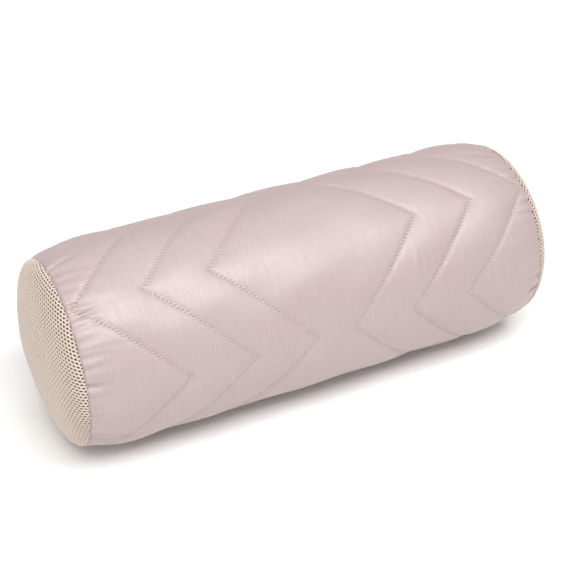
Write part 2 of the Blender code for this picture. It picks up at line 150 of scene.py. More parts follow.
def woven_satin():
    """Polyester satin, woven with long floats that lie side by side: the eye gets a soft broad sheen
    with faint streaks along the floats, pinker in the shade. The quilt map holds the distance along
    the cloth (U, metres) and the half periods of the zigzag (V), so the needle holes, the creases and
    the puckers follow each row."""
    material, tree = new_material("satin_woven_polyester")
    cloth = node(tree, "UVMap", output="UV", uv_map="quilt")
    along = node(tree, "SeparateXYZ", (cloth,), "X")
    turn = node(tree, "SeparateXYZ", (cloth,), "Y")

    # How far the cloth at each place is from the nearest row, square to it
    spacing = ROW_SPACING_STEPS * STEP_X
    folded = node(tree, "Math", (turn,), operation="ABSOLUTE")
    folded = node(tree, "Math", (folded, 1.0), operation="PINGPONG")
    zig = node(tree, "Math", (1.0, folded), operation="SUBTRACT")
    zig = node(tree, "Math", (zig, STEPS * STEP_X), operation="MULTIPLY")
    away = node(tree, "Math", (along,), operation="ABSOLUTE")
    away = node(tree, "Math", (away, ROW_START_STEPS * STEP_X), operation="SUBTRACT")
    away = node(tree, "Math", (away, zig), operation="SUBTRACT")
    row = node(tree, "Math", (away, spacing), operation="DIVIDE")
    row = node(tree, "Math", (row,), operation="ROUND")
    row = node(tree, "Math", (row, 0.0), operation="MAXIMUM")
    row = node(tree, "Math", (row, 2.0), operation="MINIMUM")
    row = node(tree, "Math", (row, spacing), operation="MULTIPLY")
    across = node(tree, "Math", (away, row), operation="SUBTRACT")
    across = node(tree, "Math", (across, math.sqrt(0.5)), operation="MULTIPLY")
    distance = node(tree, "Math", (across,), operation="ABSOLUTE")

    # Needle holes between the stitches, and the distance to the nearest one
    stitch = node(tree, "Math", (turn, float(STITCHES)), operation="MULTIPLY")
    wave = node(tree, "Math", (stitch, 2.0 * math.pi), operation="MULTIPLY")
    wave = node(tree, "Math", (wave,), operation="COSINE")
    to_hole = node(tree, "Math", (stitch,), operation="ABSOLUTE")
    to_hole = node(tree, "Math", (to_hole, 0.5), operation="PINGPONG")
    to_hole = node(tree, "Math", (to_hole, STITCH_PITCH), operation="MULTIPLY")
    to_hole = node(tree, "CombineXYZ", (distance, to_hole))
    reach = node(tree, "VectorMath", (to_hole,), "Value", operation="LENGTH")
    fades = []
    for value, start, end in ((reach, 0.25, 0.7), (distance, 0.2, 2.2), (distance, 1.0, 7.0),
                              (distance, 0.4, 3.0)):
        span = {"From Min": start * MM, "From Max": end * MM, "To Min": 1.0, "To Max": 0.0}
        fades.append(node(tree, "MapRange", {"Value": value, **span},
                          interpolation_type="SMOOTHSTEP"))
    hole, row_crease_shade, near, beside = fades

    # Threads are 0.12 mm apart, which is too fine to show: the mottling of the floats is drawn about
    # 1.6 mm wide and the weft 1 mm apart.
    flat = node(tree, "Math", (turn, HALF_PERIOD_ARC), operation="MULTIPLY")
    flat = node(tree, "CombineXYZ", (along, flat))
    grains = []
    for cycles in ((620, 620, 1), (900, 45, 1), (240, 240, 1)):
        place = node(tree, "Mapping", {"Vector": flat, "Scale": cycles})
        noise = node(tree, "TexNoise", {"Vector": place, "Scale": 1.0, "Detail": 2.0}, "Fac")
        grains.append(node(tree, "MapRange", {"Value": noise, "From Min": 0.32, "From Max": 0.68}))
    mottle, streaks, creep = grains
    tone = node(tree, "Mix", {0: 0.45, 2: mottle, 3: streaks}, data_type="FLOAT")

    patches = node(tree, "TexNoise", {"Vector": flat, "Scale": 14.0, "Detail": 2.0}, "Fac")
    colour = node(tree, "Mix", {0: patches, 6: linear("#AE9B99"), 7: linear("#A68E8D")}, 2,
                  data_type="RGBA")
    # Darker colour: the tone mottling is the weave's own, the darkening beside each row is painted
    # shade for the groove, and the darkening at each needle hole is painted shade in its dimple.
    for amount, share, darker in ((tone, 0.55, "#967F7F"), (row_crease_shade, 0.25, "#8F7777"),
                                  (hole, 0.4, "#6F5755")):
        amount = node(tree, "Math", (amount, share), operation="MULTIPLY")
        colour = node(tree, "Mix", {0: amount, 6: colour, 7: linear(darker)}, 2, data_type="RGBA")

    weft = node(tree, "TexWave", {"Vector": flat, "Scale": wave_scale(WEFT_PITCH), "Distortion": 1.2,
                                  "Detail": 1.0}, "Fac", bands_direction="Y")
    pucker = node(tree, "Math", (wave, beside), operation="MULTIPLY")
    height = node(tree, "Math", (creep, near), operation="MULTIPLY")
    height = node(tree, "Math", (height, 0.14 * MM), operation="MULTIPLY")
    for part, depth in ((pucker, -0.10), (hole, -0.2), (tone, 0.06), (weft, 0.012)):
        height = node(tree, "Math", (part, depth * MM, height), operation="MULTIPLY_ADD")
    rough = node(tree, "MapRange", {"Value": tone, "To Min": 0.53, "To Max": 0.64})
    surface = node(tree, "BsdfPrincipled", {
        "Base Color": colour, "Roughness": rough, "IOR": 1.8, "Specular IOR Level": 0.95,
        "Sheen Weight": 0.2, "Sheen Roughness": 0.4, "Sheen Tint": linear("#FFF4F2"),
        "Normal": node(tree, "Bump", {"Height": height, "Distance": 1.0}, "Normal")})
    node(tree, "OutputMaterial", {"Surface": surface})
    return material


def wave_scale(pitch):
    """The wave texture's scale for bands a pitch apart: its waves repeat every 2 pi / 20 units."""
    return 2.0 * math.pi / (20.0 * pitch)


def spun_thread(name, light, dark):
    """Spun polyester sewing thread: two plies twisted together, so the eye gets a matt, fuzzy cord
    with slanting bands."""
    material, tree = new_material(name)
    place = node(tree, "TexCoord", output="Object")
    # At this scale the plies make a band every 0.35 mm
    twist = node(tree, "TexWave", {"Vector": place, "Scale": 900.0, "Distortion": 2.0}, "Fac",
                 bands_direction="DIAGONAL")
    return two_tone(material, twist, linear(dark), linear(light), 0.03 * MM, Roughness=0.62,
                    Sheen_Weight=0.3)


def spacer_knit(name, light, dark, loop_size):
    """Warp-knitted polyester spacer mesh: rows of tiny loops along the strands between the holes, so
    the eye gets a dull grainy strand, paler where a loop stands up."""
    material, tree = new_material(name)
    place = node(tree, "TexCoord", output="Object")
    loops = node(tree, "TexVoronoi", {"Vector": place, "Scale": 1.0 / loop_size}, "Distance")
    worn = node(tree, "TexNoise", {"Vector": place, "Scale": 60.0}, "Fac")
    worn = node(tree, "Math", (worn, 0.25), operation="MULTIPLY")
    colour = node(tree, "Mix", {0: loops, 6: linear(light), 7: linear(dark)}, 2, data_type="RGBA")
    colour = node(tree, "Mix", {0: worn, 6: colour, 7: linear(dark)}, 2, data_type="RGBA")
    normal = node(tree, "Bump", {"Height": loops, "Distance": 0.12 * MM}, "Normal", invert=True)
    surface = node(tree, "BsdfPrincipled", {"Base Color": colour, "Roughness": 0.8,
                                            "Sheen Weight": 0.25, "Normal": normal})
    node(tree, "OutputMaterial", {"Surface": surface})
    return material


def woven(name, light, dark, thread_pitch):
    """Plain-woven cloth from two crossing sets of threads; a fine thread is drawn coarse so that the
    eye gets the small even checks of the weave."""
    material, tree = new_material(name)
    place = node(tree, "TexCoord", output="Object")
    bands = {"Vector": place, "Scale": wave_scale(thread_pitch), "Distortion": 0.6}
    threads = [node(tree, "TexWave", bands, "Fac", bands_direction=way) for way in ("X", "Z")]
    cloth = node(tree, "Math", threads, operation="MULTIPLY")
    return two_tone(material, cloth, linear(dark), linear(light), 0.06 * MM, Roughness=0.85,
                    Sheen_Weight=0.2)


def lofty_fibre(name, light, dark, clump_size):
    """Loose crimped polyester fibre: matt and cloudy, with soft clumps and strands."""
    material, tree = new_material(name)
    place = node(tree, "TexCoord", output="Object")
    clumps = node(tree, "TexNoise", {"Vector": place, "Scale": 1.0 / clump_size, "Detail": 6.0,
                                     "Distortion": 1.5}, "Fac")
    return two_tone(material, clumps, linear(dark), linear(light), 0.8 * MM, Roughness=0.95,
                    Sheen_Weight=0.5)


def drawn_nylon():
    """Nylon monofilament, drawn smooth and dyed to match: a little light passes into it, so the eye
    gets a soft edge and a small clean highlight."""
    material, tree = new_material("nylon_drawn_dyed")
    place = node(tree, "TexCoord", output="Object")
    drawn = node(tree, "TexNoise", {"Vector": place, "Scale": 700.0}, "Fac")
    return two_tone(material, drawn, linear("#D9C2C1"), linear("#CBB1B1"), 0.02 * MM, Roughness=0.32,
                    IOR=1.53, Subsurface_Weight=0.15, Subsurface_Radius=(1.2 * MM, 0.8 * MM, 0.8 * MM))


def plated_zinc():
    """Zinc, die cast, tumbled and nickel plated: bright metal with fine scuffs and duller hollows."""
    material, tree = new_material("zinc_cast_nickel_plated")
    place = node(tree, "TexCoord", output="Object")
    scuffs = node(tree, "TexNoise", {"Vector": place, "Scale": 900.0, "Detail": 4.0}, "Fac")
    rough = node(tree, "MapRange", {"Value": scuffs, "To Min": 0.2, "To Max": 0.42})
    return two_tone(material, scuffs, linear("#D6D1C8"), linear("#BDB7AD"), 0.015 * MM, Metallic=1.0,
                    Roughness=rough)


def matt_paper():
    """The floor: rolled paper, uncoated, so plain and matt with a barely visible tooth."""
    material, tree = new_material("paper_rolled_uncoated")
    place = node(tree, "TexCoord", output="Object")
    tooth = node(tree, "TexNoise", {"Vector": place, "Scale": 300.0}, "Fac")
    colour = node(tree, "Mix", {0: tooth, 6: linear("#F7F7F6"), 7: linear("#F4F3F2")}, 2,
                  data_type="RGBA")
    surface = node(tree, "BsdfPrincipled", {"Base Color": colour, "Roughness": 0.95})
    node(tree, "OutputMaterial", {"Surface": surface})
    return material


# --- meshes ---------------------------------------------------------------------------------------

def mesh_of(name, points, quads=(), triangles=(), maps=None):
    """A smooth-shaded mesh object from arrays; maps holds (U, V) for each point by map name."""
    quads = np.asarray(quads, dtype=np.int32).reshape(-1, 4)
    triangles = np.asarray(triangles, dtype=np.int32).reshape(-1, 3)
    corners = np.concatenate((quads.ravel(), triangles.ravel()))
    sizes = np.concatenate((np.full(len(quads), 4), np.full(len(triangles), 3)))
    starts = np.concatenate(([0], np.cumsum(sizes)[:-1]))
    mesh = bpy.data.meshes.new(name)
    mesh.vertices.add(len(points))
    mesh.loops.add(len(corners))
    mesh.polygons.add(len(sizes))
    mesh.vertices.foreach_set("co", np.asarray(points, dtype=np.float32).ravel())
    mesh.loops.foreach_set("vertex_index", corners.astype(np.int32))
    mesh.polygons.foreach_set("loop_start", starts.astype(np.int32))
    mesh.polygons.foreach_set("use_smooth", np.ones(len(sizes), dtype=bool))
    for key, values in (maps or {}).items():
        layer = mesh.uv_layers.new(name=key)
        layer.uv.foreach_set("vector", np.asarray(values, dtype=np.float32)[corners].ravel())
    mesh.update(calc_edges=True)
    mesh.validate()
    obj = bpy.data.objects.new(name, mesh)
    bpy.context.scene.collection.objects.link(obj)
    return obj


def points_of(obj):
    """The points of an object's mesh as an array."""
    points = np.empty(len(obj.data.vertices) * 3, dtype=np.float32)
    obj.data.vertices.foreach_get("co", points)
    return points.reshape(-1, 3).astype(float)


def set_points(obj, points):
    """Move the points of an object's mesh."""
    obj.data.vertices.foreach_set("co", np.asarray(points, dtype=np.float32).ravel())
    obj.data.update()


def finished(obj, material, replaced=(), body="cover"):
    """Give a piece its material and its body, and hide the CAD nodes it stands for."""
    obj.data.materials.clear()
    obj.data.materials.append(material)
    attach(obj, body)
    if replaced:
        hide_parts(*replaced)
    return obj


def grid_quads(rows, columns, wrap_rows=False, wrap_columns=False):
    """Faces of a grid of points numbered row by row; wrapping joins the last line to the first."""
    r = np.arange(rows if wrap_rows else rows - 1)[:, None]
    c = np.arange(columns if wrap_columns else columns - 1)[None, :]
    after_r, after_c = (r + 1) % rows, (c + 1) % columns
    return np.stack([r * columns + c, r * columns + after_c, after_r * columns + after_c,
                     after_r * columns + c], axis=-1).reshape(-1, 4)


def facing_out(points, quads, centre):
    """The same faces, all turned round if on the whole they face the centre line."""
    a, b, c = (points[quads[:, n]] for n in (0, 1, 2))
    normal = np.cross(b - a, c - a)
    if (normal * (a - centre)).sum() < 0.0:
        return quads[:, ::-1]
    return quads


def turned_piece(name, grid, first_tip, last_tip):
    """A surface of closed rings of points, each end drawn to a tip where one is given."""
    rows, columns = grid.shape[:2]
    ring = np.arange(columns)
    ahead = np.roll(ring, -1)
    points, triangles = [grid.reshape(-1, 3)], []
    for tip, start, a, b in ((first_tip, 0, ahead, ring),
                             (last_tip, (rows - 1) * columns, ring, ahead)):
        if tip is not None:
            number = rows * columns + len(triangles)
            triangles.append(np.stack([np.full(columns, number), start + a, start + b], axis=1))
            points.append(tip[None])
    points = np.concatenate(points)
    quads = grid_quads(rows, columns, wrap_columns=True)
    turned = facing_out(points, quads, axis_middle)
    triangles = np.concatenate(triangles)
    if (turned[0] != quads[0]).any():
        triangles = triangles[:, ::-1]
    return mesh_of(name, points, turned, triangles)


def subdivided(obj, levels=1):
    """Apply a subdivision surface to an object's mesh."""
    modifier = obj.modifiers.new("smooth", "SUBSURF")
    modifier.levels = modifier.render_levels = levels
    modifier.boundary_smooth = "PRESERVE_CORNERS"
    graph = bpy.context.evaluated_depsgraph_get()
    graph.update()
    mesh = bpy.data.meshes.new_from_object(obj.evaluated_get(graph))
    obj.modifiers.remove(modifier)
    old, obj.data = obj.data, mesh
    bpy.data.meshes.remove(old)
    mesh.name = obj.name
    return obj


def thickened(obj, thickness):
    """Give a sheet its thickness, inwards from its surface."""
    solid = obj.modifiers.new("thickness", "SOLIDIFY")
    solid.thickness = thickness
    solid.offset = -1.0


# --- the barrel's shape ---------------------------------------------------------------------------

def rounding(x):
    """0 along the middle of the barrel, rising to 1 at the end seams."""
    return np.clip((np.abs(x) - ROUNDING_START) / (seam_x - ROUNDING_START), 0.0, 1.0)


def face_radius(x):
    """Radius of the cover's surface at a place along the barrel: full in the middle, and less by the
    rounding to a power towards the seam."""
    return FACE_RADIUS - (FACE_RADIUS - seam_radius) * rounding(x) ** ROUNDING_POWER


def outward(angle):
    """Unit vectors away from the axis."""
    turn = np.radians(angle)
    return np.stack([0.0 * turn, -np.cos(turn), np.sin(turn)], axis=-1)


def around(x, angle, radius):
    """Points at a radius from the axis."""
    radius = np.asarray(radius)[..., None] if np.ndim(radius) else radius
    points = radius * outward(np.asarray(angle, dtype=float))
    points[..., 0] += x
    points[..., 2] += axis_height
    return points


def rested(points, floor):
    """Press points up off the ground to a height above it, with a soft turn at the edge of the flat:
    half the sum of a point's lift and the root of its square plus a small square."""
    soft = 0.6 * MM
    lift = points[..., 2] - floor
    points[..., 2] = floor + 0.5 * (lift + np.sqrt(lift * lift + soft * soft))
    return points


def zip_distance(angle):
    """Distance around the barrel from the zip's middle line; positive is below the zip."""
    away = (np.asarray(angle) - ZIP_ANGLE + 180.0) % 360.0 - 180.0
    return np.radians(away) * FACE_RADIUS


def smooth_step(value, low, high):
    """0 below low, 1 above high, and between them three times the share squared less twice it cubed."""
    share = np.clip((value - low) / (high - low), 0.0, 1.0)
    return share * share * (3.0 - 2.0 * share)


def groove(angle):
    """Depth of a quilting row; it eases out beside the zip."""
    return GROOVE_DEPTH * (0.3 + 0.7 * smooth_step(np.abs(zip_distance(angle)), 6 * MM, 20 * MM))


def slot_edge(x):
    """Half width of the zip slot; past the stops its edges are sewn together."""
    return SLOT_HALF_WIDTH + (0.3 * MM - SLOT_HALF_WIDTH) * smooth_step(np.abs(x), STOP_END + 2 * MM,
                                                                        STOP_END + 11 * MM)


# --- the quilted cover ----------------------------------------------------------------------------

def zig_steps(line):
    """Steps from a row's inner corners to its place on a cloth line: a triangle wave."""
    return STEPS - np.abs((line + STEPS) % (2 * STEPS) - STEPS)


def cloth_x(step):
    """Place along X of a cloth step; the cloth sits off centre, less so near the seams."""
    flat = step * STEP_X
    return flat + QUILT_SHIFT * np.maximum(0.0, 1.0 - (flat / seam_x) ** 4)


def cloth_lattice():
    """The cloth's mesh: a chequerboard of steps along X and lines around the barrel, joined in
    diamonds whose sides run along both directions of the zigzag. Returns the step and the line of
    each point, the diamonds and the triangles that square off the edges."""
    steps = np.arange(-END_STEPS - TURNED_IN, END_STEPS + TURNED_IN + 1)
    lines = np.arange(FIRST_LINE - TURNED_IN, LAST_LINE + TURNED_IN + 1)
    step, line = np.meshgrid(steps, lines, indexing="ij")
    taken = (step + line) % 2 == 0
    number = np.full((len(steps) + 2, len(lines) + 2), -1)
    number[1:-1, 1:-1][taken] = np.arange(taken.sum())
    ring = np.stack([number[:-2, 1:-1], number[1:-1, :-2], number[2:, 1:-1], number[1:-1, 2:]],
                    axis=-1)
    ring = ring[~taken]
    present = (ring >= 0).sum(axis=1)
    diamonds = ring[present == 4]
    edges = ring[present == 3]
    triangles = edges[edges >= 0].reshape(-1, 3)
    return step[taken], line[taken], diamonds, triangles


def sewn_points(step, line, depth):
    """Where cloth points lie at a depth below the barrel's surface. Past an end seam the cloth turns
    in towards the axis, and past the edge of the zip slot it folds under."""
    x = cloth_x(step.astype(float))
    angle = OUTER_CORNER_ANGLE + line * HALF_PERIOD_ANGLE / STEPS
    away = zip_distance(angle)
    side = np.where(away < 0, -1.0, 1.0)
    edge = slot_edge(x)
    last_angle = OUTER_CORNER_ANGLE + LAST_LINE * HALF_PERIOD_ANGLE / STEPS
    first_angle = OUTER_CORNER_ANGLE + FIRST_LINE * HALF_PERIOD_ANGLE / STEPS
    first = np.where(line > 0, -zip_distance(last_angle), zip_distance(first_angle))
    reach = 22.0 * MM                   # the lines are squeezed within this much of the zip
    squeezed = edge + (np.abs(away) - first) * (reach - edge) / (reach - first)
    past = np.maximum(np.maximum(line - LAST_LINE, FIRST_LINE - line), 0)
    hem = edge + np.interp(past, (0, 1, 2, 3), (0.0, -0.15 * MM, 0.3 * MM, 1.8 * MM))
    near = np.where(past > 0, hem, np.where(np.abs(away) < reach, squeezed, np.abs(away)))
    fold = np.interp(past, (0, 1, 2, 3), (0.35 * MM, 1.2 * MM, 2.1 * MM, 2.3 * MM))
    depth = depth + fold * (past > 0)
    angle = ZIP_ANGLE + np.degrees(side * near / FACE_RADIUS)
    turned = np.maximum(np.abs(step) - END_STEPS, 0)
    radius = face_radius(x) - depth
    radius -= np.interp(turned, (0, 1, 2, 3), (0.0, 1.3 * MM, 2.6 * MM, 3.4 * MM))
    inward = np.interp(turned, (0, 1, 2, 3), (0.0, 0.3 * MM, -0.9 * MM, -3.0 * MM))
    x = np.sign(step) * (np.minimum(np.abs(x), seam_x) + inward)
    return rested(around(x, angle, radius), np.maximum(depth, 0.1 * MM))


def swollen(obj, sewn):
    """Let the wadding swell the cloth between its sewn points: cloth simulation with pressure and
    no gravity, run until it settles and then applied."""
    scene = bpy.context.scene
    group = obj.vertex_groups.new(name="sewn")
    group.add(np.flatnonzero(sewn).tolist(), 1.0, "REPLACE")
    modifier = obj.modifiers.new("cloth", "CLOTH")
    settings = modifier.settings
    settings.quality = 6
    settings.mass = 0.004
    settings.air_damping = 2.0
    settings.tension_stiffness = settings.compression_stiffness = 5.0
    settings.shear_stiffness = 2.0
    settings.bending_stiffness = 1.0
    settings.tension_damping = settings.compression_damping = settings.shear_damping = 8.0
    settings.use_pressure = True
    settings.uniform_pressure_force = 900.0
    settings.effector_weights.gravity = 0.0
    settings.vertex_group_mass = group.name
    modifier.collision_settings.use_collision = False
    modifier.point_cache.frame_start = 1
    modifier.point_cache.frame_end = SWELL_FRAMES
    for moment in range(1, SWELL_FRAMES + 1):
        scene.frame_set(moment)
    graph = bpy.context.evaluated_depsgraph_get()
    result = obj.evaluated_get(graph)
    points = np.empty(len(obj.data.vertices) * 3, dtype=np.float32)
    result.data.vertices.foreach_get("co", points)
    obj.modifiers.remove(modifier)
    obj.vertex_groups.remove(group)
    scene.frame_set(1)
    return points.reshape(-1, 3).astype(float)


def eased(rise, diamonds, free, rounds):
    """Smooth a height over the cloth: each free point moves half way to the mean of its neighbours,
    a few times over."""
    ends = np.stack([diamonds, np.roll(diamonds, -1, axis=1)], axis=-1).reshape(-1, 2)
    ends = np.concatenate((ends, ends[:, ::-1]))
    count = np.maximum(np.bincount(ends[:, 0], minlength=len(rise)), 1)
    for _ in range(rounds):
        mean = np.bincount(ends[:, 0], weights=rise[ends[:, 1]], minlength=len(rise)) / count
        rise = np.where(free, 0.5 * (rise + mean), rise)
    return rise


def radial(points):
    """Angle around the barrel, and the unit vector away from the axis, for each point."""
    angle = np.degrees(np.arctan2(points[:, 2] - axis_height, -points[:, 1]))
    return angle, outward(angle)


def end_gathers(points, angle, side, count, deepest):
    """Depth of the gathers where the barrel is eased onto a smaller end: folds at seeded angles, each
    a valley with a ridge beside it, deepest at the seam, widening and fading along its own length and
    bending a little as it goes."""
    places = np.linspace(0.0, 360.0, count, endpoint=False) + rng.uniform(-2.4, 2.4, count)
    widths = rng.uniform(0.9, 2.3, count) * MM
    lengths = rng.uniform(9.0, 34.0, count) * MM
    depths = rng.uniform(0.2, 1.0, count) ** 1.4 * deepest
    leans = rng.uniform(-0.18, 0.18, count)
    bends = rng.uniform(-4.0, 4.0, count)
    from_seam = seam_x - side * points[:, 0]
    near = np.flatnonzero(from_seam < 75.0 * MM)    # past this, no fold is deep enough to see
    reach = np.maximum(from_seam[near], 0.0)[:, None]
    along = np.radians((angle[near][:, None] - places + 180.0) % 360.0 - 180.0) * seam_radius
    along -= leans * reach + bends * reach ** 2
    share = along / (widths * (1.0 + reach / (22.0 * MM)))
    fold = depths * (1.0 - 0.9 * share) * np.exp(-share ** 2) * np.exp(-(reach / lengths) ** 1.5)
    total = np.zeros(len(points))
    total[near] = fold.sum(axis=1) - 0.3 * deepest * np.exp(-(reach[:, 0] / (14.0 * MM)) ** 2)
    return total


def seam_tuck(points, angle):
    """One deeper tuck caught in the right seam, low on the front: a narrow valley 8 mm long, with a
    low ridge 4 mm above it."""
    reach = np.maximum(seam_x - points[:, 0], 0.0)
    along = np.radians((angle + 10.0 + 180.0) % 360.0 - 180.0) * seam_radius + 0.25 * reach
    valley = np.exp(-(along / (1.5 * MM)) ** 2) * np.exp(-(reach / (8.0 * MM)) ** 2)
    ridge = np.exp(-((along - 4.0 * MM) / (2.5 * MM)) ** 2) * np.exp(-(reach / (9.0 * MM)) ** 2)
    return 4.0 * MM * valley - 0.9 * MM * ridge


def loose_folds(points, angle):
    """Depth of the soft unevenness between the rows: slow waves of three lengths, crossing at a slant,
    and a few short folds running round the barrel, each a ridge with a valley on one side."""
    place = np.stack([points[:, 0], np.radians(angle) * FACE_RADIUS], axis=1)
    total = np.zeros(len(points))
    for length, slant, height in ((61, 0.5, 0.28), (43, -0.9, 0.22), (29, 1.9, 0.12)):
        way = np.array((math.cos(slant), math.sin(slant))) * 2.0 * math.pi / (length * MM)
        total += height * MM * np.sin(place @ way + rng.uniform(0.0, 6.0))
    # Each fold: place along X (mm), middle angle, half length (mm), height (mm) and lean
    folds = ((70, 28, 13, 0.55, 0.16), (63, 19, 9, 0.3, -0.1), (13, 19, 10, 0.35, 0.1),
             (22, 24, 8, 0.25, 0.25), (31, 15, 9, 0.25, -0.1), (-38, 34, 9, 0.25, 0.1),
             (-96, 72, 10, 0.3, 0.2), (108, 20, 9, 0.25, 0.2), (120, 95, 9, 0.3, -0.2))
    for x, middle, half, height, lean in folds:
        around_it = place[:, 1] - math.radians(middle) * FACE_RADIUS
        share = (place[:, 0] - x * MM - lean * around_it) / (1.9 * MM)
        ridge = (1.0 + 1.3 * share) * np.exp(-share ** 2)
        total -= height * MM * ridge * np.exp(-(around_it / (half * MM)) ** 2)
    clear = smooth_step(np.abs(zip_distance(angle)), 12 * MM, 25 * MM)
    at_seam = smooth_step(np.abs(points[:, 0]), seam_x - 18 * MM, seam_x - 4 * MM)
    return total * (0.25 + 0.75 * clear) * (1.0 - at_seam)


def build_cover(satin):
    """The satin cover: sewn down along the six rows, the seams and the zip, swollen between them.
    Returns the cloth's points with the step and the line of each."""
    step, line, diamonds, triangles = cloth_lattice()
    rows = [np.abs(step) == ROW_START_STEPS + ROW_SPACING_STEPS * n + zig_steps(line)
            for n in range(3)]
    quilted = np.any(rows, axis=0) & (line > FIRST_LINE) & (line < LAST_LINE)
    at_seam = np.abs(step) >= END_STEPS
    free = ~(quilted | at_seam | (line >= LAST_LINE - 1) | (line <= FIRST_LINE + 1))
    angle = OUTER_CORNER_ANGLE + line * HALF_PERIOD_ANGLE / STEPS
    nearing = smooth_step(np.abs(step), END_STEPS - 9, END_STEPS - 1)
    depth = np.where(quilted & ~at_seam, groove(angle) * (1.0 - 0.6 * nearing), 0.0)
    sewn = sewn_points(step, line, np.where(free, 0.8 * MM, depth))
    cloth_map = np.stack([step * STEP_X, line / STEPS], axis=1)
    obj = mesh_of("satin_cover", sewn, diamonds, triangles, {"quilt": cloth_map})
    away = radial(sewn)[1]
    rise = ((swollen(obj, ~free) - sewn) * away).sum(axis=1)
    rise = eased(np.clip(rise, -0.4 * MM, 3.2 * MM), diamonds, free, 3)
    rise *= 0.35 + 0.42 * smooth_step(angle, -55.0, -10.0) - 0.22 * smooth_step(angle, 75.0, 110.0)
    rise += 0.5 * MM * free
    set_points(obj, sewn + rise[:, None] * away)
    subdivided(obj)
    points = points_of(obj)
    angle, away = radial(points)
    gathers = end_gathers(points, angle, -1, 62, 1.8 * MM)
    gathers += end_gathers(points, angle, 1, 58, 1.6 * MM)
    gathers += seam_tuck(points, angle) + loose_folds(points, angle)
    seen = np.abs(points[:, 0]) < seam_x + 1.0 * MM
    points -= (gathers * seen)[:, None] * away
    points = rested(points, 0.05 * MM)
    set_points(obj, points)
    finished(obj, satin, ["cover_face"])
    return points[:len(step)], step, line


# --- stitches -------------------------------------------------------------------------------------

def stitch_row(name, centres, along, out, length, radius, dip, material, replaced):
    """Separate stitches: each is a short rod, round in section, whose ends dive into the cloth. A ring
    at a share s of its half length is lowered by dip times s squared."""
    shares = np.array([-0.72, 0.0, 0.72])
    swell = np.array([0.85, 1.0, 0.85])
    turns = np.arange(6) * math.pi / 3
    ring = np.stack([np.repeat(shares, 6), np.outer(swell, np.cos(turns)).ravel(),
                     np.outer(swell, np.sin(turns)).ravel()], axis=1)
    shape = np.concatenate(([[-1.0, 0.0, 0.0]], ring, [[1.0, 0.0, 0.0]]))
    across = np.cross(out, along)
    reach = shape[:, 0][None, :, None] * (length / 2) * along[:, None, :]
    side = shape[:, 1][None, :, None] * radius * across[:, None, :]
    lift = (shape[:, 2] * radius - dip * shape[:, 0] ** 2)[None, :, None] * out[:, None, :]
    points = (centres[:, None, :] + reach + side + lift).reshape(-1, 3)
    a = np.arange(6)
    b = (a + 1) % 6
    tips = np.concatenate((np.stack([0 * a, 1 + b, 1 + a], axis=1),
                           np.stack([0 * a + 19, 13 + a, 13 + b], axis=1)))
    sides = np.concatenate([np.stack([f + a, f + b, f + 6 + b, f + 6 + a], axis=1) for f in (1, 7)])
    first = 20 * np.arange(len(centres))[:, None, None]
    obj = mesh_of(name, points, (sides + first).reshape(-1, 4), (tips + first).reshape(-1, 3))
    return finished(obj, material, replaced)


def along_path(path, places):
    """Points on a path of evenly numbered points, and the directions of travel there."""
    numbers = np.arange(len(path))
    at = np.stack([np.interp(places, numbers, path[:, n]) for n in range(3)], axis=1)
    ahead = np.stack([np.interp(places + 0.4, numbers, path[:, n]) for n in range(3)], axis=1)
    behind = np.stack([np.interp(places - 0.4, numbers, path[:, n]) for n in range(3)], axis=1)
    travel = ahead - behind
    return at, travel / np.linalg.norm(travel, axis=1, keepdims=True)


def build_quilt_stitches(thread, surface, step, line):
    """The six rows of stitching, lying on the cover where it is sewn down."""
    for side, word in ((-1, "left"), (1, "right")):
        for row in range(3):
            target = side * (ROW_START_STEPS + ROW_SPACING_STEPS * row + zig_steps(line))
            on_row = np.flatnonzero((step == target) & (line > FIRST_LINE) & (line < LAST_LINE))
            on_row = on_row[np.argsort(line[on_row])]
            first = line[on_row[0]]
            per_stitch = STEPS / STITCHES
            low = math.ceil((first + 1.0) / per_stitch)
            high = math.floor((line[on_row[-1]] - 1.0) / per_stitch)
            places = (np.arange(low, high) + 0.5) * per_stitch - first
            centres, along = along_path(surface[on_row], places)
            out = radial(centres)[1]
            across = np.cross(out, along)
            across /= np.linalg.norm(across, axis=1, keepdims=True)
            out = np.cross(along, across)
            centres = centres + out * 0.05 * MM
            stitch_row(f"quilt_stitches_{word}_{row + 1}", centres, along, out, 2.3 * MM, 0.22 * MM,
                       0.5 * MM, thread, [f"quilt_thread_{word}_{row + 1}"])


def build_seam_stitches(thread):
    """The stitches that show in the valley between the satin and each mesh end."""
    count = int(2.0 * math.pi * seam_radius / STITCH_PITCH)
    angle = np.arange(count) * 360.0 / count
    out = outward(angle)
    along = np.cross(out, (1.0, 0.0, 0.0))
    for side, word in ((-1, "left"), (1, "right")):
        centres = around(side * (seam_x + 0.35 * MM), angle, np.full(count, seam_radius - 0.15 * MM))
        stitch_row(f"seam_stitches_{word}", centres, along, out, 2.2 * MM, 0.25 * MM, 0.3 * MM,
                   thread, [f"seam_thread_{word}"])


# --- the mesh ends --------------------------------------------------------------------------------

def dome_curve():
    """The end dome's profile as lengths along it from the tip, radii and bulges. The bulge is the
    dome's height times the root of one less the share of the radius to the power 1.5, so it levels
    out over the middle and drops steeply at the rim; then it turns in behind the seam."""
    share = np.linspace(0.0, 1.0, 400)
    radius = seam_radius * share
    bulge = 0.3 * MM + (dome_height - 0.3 * MM) * np.sqrt(1.0 - share ** 1.5)
    length = np.concatenate(([0.0], np.cumsum(np.hypot(np.diff(radius), np.diff(bulge)))))
    tail = np.linspace(0.4, 5.0, 8) * MM
    return (np.concatenate((length, length[-1] + tail)),
            np.concatenate((radius, radius[-1] - 0.75 * tail)),
            np.concatenate((bulge, bulge[-1] - 0.65 * tail)))


